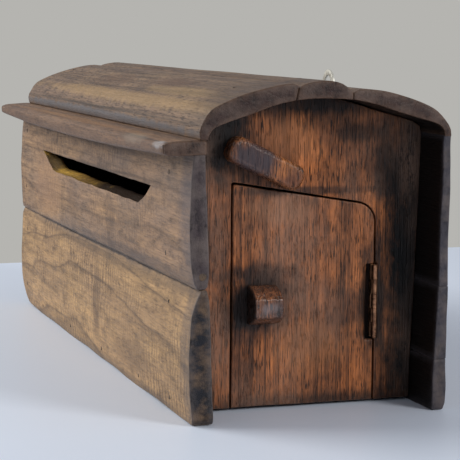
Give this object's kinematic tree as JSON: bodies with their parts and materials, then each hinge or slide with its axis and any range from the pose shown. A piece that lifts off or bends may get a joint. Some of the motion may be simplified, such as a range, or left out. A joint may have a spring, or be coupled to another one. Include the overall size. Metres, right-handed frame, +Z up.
{
  "type": "wall mounted mailbox",
  "caption": "Long wooden mailbox with a barrel roof, a mail slot under a rain ledge, and a hinged end door held by a turn latch.",
  "frame": {"origin": "middle of the bounding box, on the base plane that the two long walls stand on", "axes": "+X along the case towards the door end, -Y towards the mail slot side, +Y towards the wall, +Z up"},
  "size_m": [0.528, 0.202, 0.223],
  "materials": {
    "case_wood": "weathered hand-planed hardwood",
    "roof_wood": "weathered grey-brown hardwood",
    "door_wood": "warm brown oiled hardwood with dark streaks",
    "handled_wood": "orange-brown hardwood worn smooth",
    "inner_wood": "dark raw hardwood",
    "hinge_steel": "dark oiled steel",
    "nail_iron": "rusty dark iron",
    "screw_brass": "dull brass",
    "zinc_plate": "zinc plated"
  },
  "bodies": {
    "case": {"slot_wall_lower_board": "case_wood", "slot_wall_upper_board": "case_wood", "rain_ledge": "case_wood", "wall_side_upper_board": "case_wood", "wall_side_middle_board": "case_wood", "wall_side_lower_board": "case_wood", "edge_dowel": "case_wood", "roof_slot_side_stave": "roof_wood", "roof_ridge_stave": "roof_wood", "roof_wall_side_stave": "roof_wood", "door_end_panel": "door_wood", "far_end_panel": "inner_wood", "floor_board": "inner_wood", "door_stop_cleat": "inner_wood", "hinge_frame_leaf": "hinge_steel", "hinge_pin": "hinge_steel", "slot_wall_brads": "nail_iron", "wall_side_brads": "nail_iron", "roof_brads": "nail_iron", "cleat_brads": "nail_iron", "hinge_frame_screws": "screw_brass", "latch_pivot_screw": "screw_brass", "hanger_plate": "zinc_plate", "hanger_screws": "zinc_plate"},
    "door": {"door_board": "door_wood", "door_knob": "handled_wood", "knob_fixing_screw": "screw_brass", "hinge_door_leaf": "hinge_steel", "hinge_door_screws": "screw_brass"},
    "latch": {"turn_latch": "handled_wood"}
  },
  "joints": [
    {"name": "door_swing", "type": "hinge", "parent": "case", "child": "door", "pos_m": [0.228, 0.0614, 0.07025], "axis": [0, 0, 1], "range_deg": [0, 105]},
    {"name": "latch_turn", "type": "hinge", "parent": "case", "child": "latch", "pos_m": [0.2347, -0.0386, 0.1747], "axis": [1, 0, 0], "range_deg": [-53, 45]}
  ]
}
